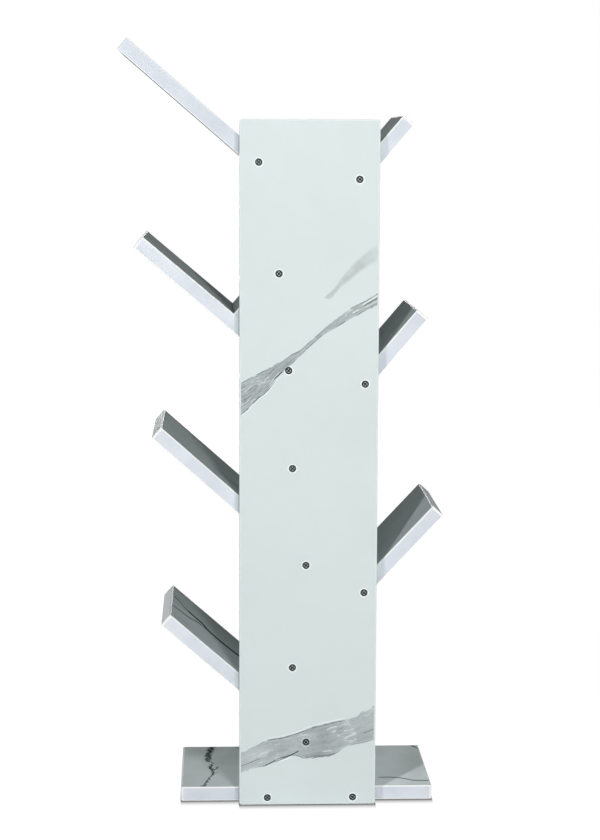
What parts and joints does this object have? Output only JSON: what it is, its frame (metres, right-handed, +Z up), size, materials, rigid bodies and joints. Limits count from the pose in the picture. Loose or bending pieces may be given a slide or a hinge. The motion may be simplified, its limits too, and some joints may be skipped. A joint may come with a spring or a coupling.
{
  "type": "tree shaped bookshelf",
  "caption": "Free-standing tree bookshelf: a tall narrow back panel on a level base, with slanted marble-look boards stepping up both sides in a zigzag.",
  "frame": {"origin": "on the floor, under the middle of the trunk's width and the middle of the shelves' depth", "axes": "+Z up, -Y towards the back, where the trunk panel is, +X to the right as seen from behind, where right arms 1 to 3 reach"},
  "size_m": [0.3997, 0.2, 0.9461],
  "materials": {
    "marble_laminate": "particle board faced with pale marble-print melamine, satin",
    "edge_band": "white plastic edge band, satin",
    "dark_steel": "dark phosphated steel",
    "beech": "raw beech"
  },
  "bodies": {
    "root": {"trunk_panel": "marble_laminate", "base_shelf": "marble_laminate", "left_arm_1": "marble_laminate", "left_arm_2": "marble_laminate", "left_arm_3": "marble_laminate", "left_arm_4": "marble_laminate", "right_arm_1": "marble_laminate", "right_arm_2": "marble_laminate", "right_arm_3": "marble_laminate", "trunk_edge_bands": "edge_band", "base_edge_bands": "edge_band", "left_arm_1_edge_bands": "edge_band", "left_arm_2_edge_bands": "edge_band", "left_arm_3_edge_bands": "edge_band", "left_arm_4_edge_bands": "edge_band", "right_arm_1_edge_bands": "edge_band", "right_arm_2_edge_bands": "edge_band", "right_arm_3_edge_bands": "edge_band", "back_screws": "dark_steel", "joint_screws": "dark_steel", "foot_screws": "dark_steel", "dowels": "beech"}
  },
  "joints": []
}
